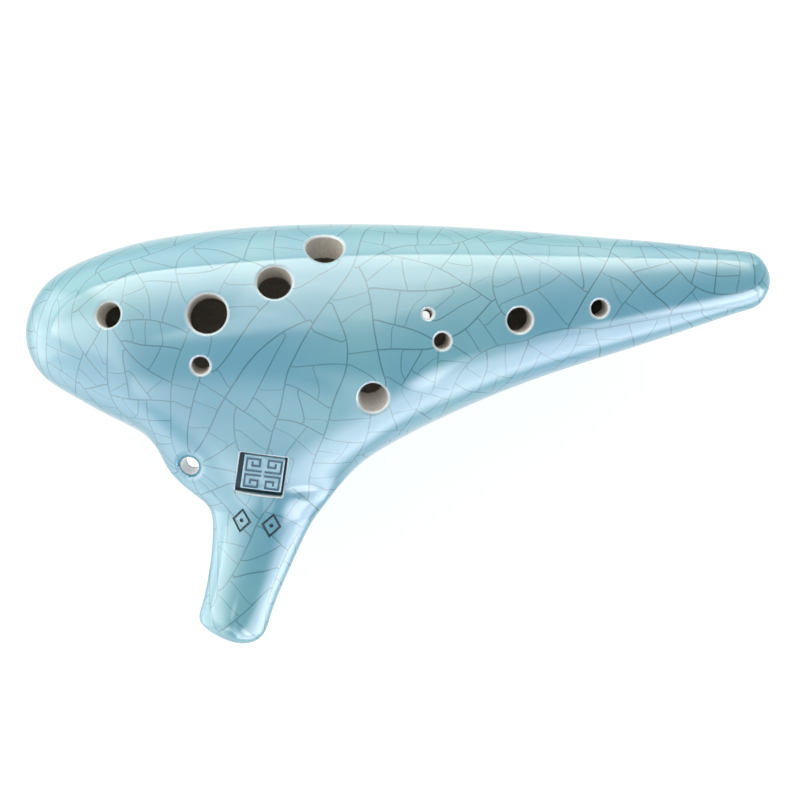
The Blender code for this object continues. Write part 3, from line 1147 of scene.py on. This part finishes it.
def glaze_material():
    """Aqua celadon with inked crackle, thin and pale on the lips, over buff clay."""
    material, nodes = new_material("crackle_glaze")
    place = nodes.place()
    cloud = nodes.noise(place, 0.045)
    drift = nodes.noise(nodes.vector("ADD", place, (0.3, 0.1, 0.2)), 0.02, detail=3.0)
    glaze = nodes.mix(nodes.step(cloud, 0.35, 0.65), DEEP_GLAZE, GREEN_GLAZE)
    glaze = nodes.mix(nodes.math("MULTIPLY", nodes.step(drift, 0.4, 0.75), 0.35), glaze, PALE_GLAZE)
    ink = nodes.math("MULTIPLY", crack_ink(nodes, place), nodes.span(cloud, 0.3, 0.7, 1.0, 0.75))
    glaze = nodes.mix(ink, glaze, CRACK_INK)
    thin = nodes.value("thin")
    halo = nodes.math("MULTIPLY", nodes.step(thin, 0.02, 0.6), 0.5)
    rim = nodes.math("MULTIPLY", nodes.step(thin, 0.6, 0.85), 0.5)
    glaze = nodes.mix(nodes.math("ADD", halo, rim), glaze, THIN_GLAZE)
    # grooves in the marks and round the seal tile: pooled glaze with painted shade, near-black
    glaze = nodes.mix(nodes.value("pooling_and_painted_shade"), glaze, POOLED_GLAZE_AND_SHADE)
    clay, grain = clay_colour(nodes, place)
    height = nodes.new("ShaderNodeSeparateXYZ", {0: place}).outputs[2]
    foot_edge = nodes.span(nodes.noise(place, 0.004), 0.3, 0.7, 0.08 * MM, 0.2 * MM)
    foot = nodes.math("LESS_THAN", height, foot_edge)
    bare = nodes.math("MAXIMUM", nodes.value("bare"), foot)
    colour = nodes.mix(bare, glaze, clay)
    matt = nodes.math("MAXIMUM", bare, nodes.math("MULTIPLY", nodes.value("pooling_and_painted_shade"), 0.8))
    roughness = nodes.span(matt, 0.0, 1.0, 0.07, 0.8)
    bump = nodes.new(
        "ShaderNodeBump",
        {"Strength": 0.25, "Distance": 0.00005, "Height": nodes.math("MULTIPLY", grain, bare)},
    )
    shader = nodes.new(
        "ShaderNodeBsdfPrincipled",
        {"Base Color": colour, "Roughness": roughness, "Normal": bump.outputs[0], "IOR": 1.5},
    )
    nodes.new("ShaderNodeOutputMaterial", {"Surface": shader.outputs[0]})
    return material


# ---- The studio ------------------------------------------------------------------------------


def build_camera():
    camera = bpy.data.cameras.new("camera")
    camera.lens = camera.sensor_width * CAMERA_RISE / FIELD_WIDTH
    thing = new_object("camera", camera)
    thing.location = (*CAMERA_PLACE, SEAM + CAMERA_RISE)
    bpy.context.scene.camera = thing


def build_floor():
    """A pale floor that glows a little, as a lit sweep does. It isn't there from below, nor
    for the glaze, which mirrors the studio's own lower half.
    """
    mesh = bmesh.new()
    bmesh.ops.create_grid(mesh, x_segments=1, y_segments=1, size=FLOOR_SIZE / 2)
    floor = object_from("floor", mesh)
    floor.location.z = -0.05 * MM
    material, nodes = new_material("floor")
    matt = nodes.new("ShaderNodeBsdfDiffuse", {"Color": FLOOR_COLOUR})
    glow = nodes.new("ShaderNodeEmission", {"Color": (1, 1, 1, 1), "Strength": FLOOR_GLOW})
    both = nodes.new("ShaderNodeAddShader", {0: matt.outputs[0], 1: glow.outputs[0]})
    clear = nodes.new("ShaderNodeBsdfTransparent")
    under = nodes.new("ShaderNodeNewGeometry").outputs["Backfacing"]
    mirrored = nodes.new("ShaderNodeLightPath").outputs["Is Glossy Ray"]
    gone = nodes.math("MAXIMUM", under, mirrored)
    shown = nodes.new("ShaderNodeMixShader", {0: gone, 1: both.outputs[0], 2: clear.outputs[0]})
    nodes.new("ShaderNodeOutputMaterial", {"Surface": shown.outputs[0]})
    floor.data.materials.append(material)


def build_world():
    """Soft boxes and a pale room, as the directions that light comes from."""
    world = bpy.data.worlds.new("studio")
    world.use_nodes = True
    bpy.context.scene.world = world
    nodes = Nodes(world.node_tree)
    world.cycles.sampling_method = "NONE"
    path = nodes.new("ShaderNodeLightPath")
    mirrored = path.outputs["Is Glossy Ray"]
    way = nodes.new("ShaderNodeTexCoord").outputs["Generated"]
    rise = nodes.new("ShaderNodeSeparateXYZ", {0: way}).outputs[2]
    back = nodes.new("ShaderNodeSeparateXYZ", {0: way}).outputs[1]
    light = nodes.mix(nodes.step(back, -0.8, 0.8), (*COOL_LIGHT, 1), (*WARM_LIGHT, 1))
    light = nodes.mix(nodes.step(rise, 0.0, 0.9), light, (*ZENITH_LIGHT, 1))
    light = nodes.mix(nodes.step(rise, -0.3, 0.0), (1, 1, 1, 1), light)
    for compass, low, high, spread, edge, strength, colour in SOFT_BOXES:
        angle = radians(compass)
        ahead = nodes.vector("DOT_PRODUCT", way, (cos(angle), sin(angle), 0))
        aside = nodes.vector("DOT_PRODUCT", way, (-sin(angle), cos(angle), 0))
        tilt = nodes.math("ARCTAN2", rise, ahead)
        turn = nodes.math("ABSOLUTE", nodes.math("ARCSINE", aside))
        shape = nodes.step(tilt, radians(low[0]), radians(low[1]))
        shape = nodes.math("MULTIPLY", shape, nodes.step(tilt, radians(high[1]), radians(high[0])))
        shape = nodes.math(
            "MULTIPLY", shape, nodes.step(turn, radians(spread + edge), radians(spread))
        )
        shape = nodes.math("MULTIPLY", shape, nodes.span(mirrored, 0.0, 1.0, BOX_FILL, 1.0))
        glow = nodes.scaled((*[part * strength for part in colour],), shape)
        light = nodes.vector("ADD", light, glow)
    lit = nodes.new("ShaderNodeBackground", {"Color": light, "Strength": 1.0})
    plain = nodes.new("ShaderNodeBackground", {"Color": (1, 1, 1, 1), "Strength": 1.0})
    seen = path.outputs["Is Camera Ray"]
    both = nodes.new("ShaderNodeMixShader", {0: seen, 1: lit.outputs[0], 2: plain.outputs[0]})
    nodes.new("ShaderNodeOutputWorld", {"Surface": both.outputs[0]})
    bpy.context.scene.view_settings.view_transform = "Standard"


# ---- Making it all ---------------------------------------------------------------------------

neck_frame = frame_along((*WINDWAY_MOUTH[:2], 0), (*NECK[:2], 0))
windway_frame = frame_along(WINDWAY_MOUTH, NECK)
windway_length = (Vector(NECK) - Vector(WINDWAY_MOUTH)).length
vessel = vessel_form()
skin = Skin(vessel)
seal_frame = skin.frame(*SEAL_CENTRE, 1) @ Matrix.Rotation(SEAL_TURN, 4, "Z")
all_openings = make_openings()
stretches = crack_stretches(crack_network())
crack_tree = KDTree(len(stretches))
for number, (start, end, _, _) in enumerate(stretches):
    crack_tree.insert((start + end) / 2, number)
crack_tree.balance()

build_glazed_pieces(glaze_material())
build_seal_tile(seal_material())
build_blade(clay_material())
build_camera()
build_floor()
build_world()
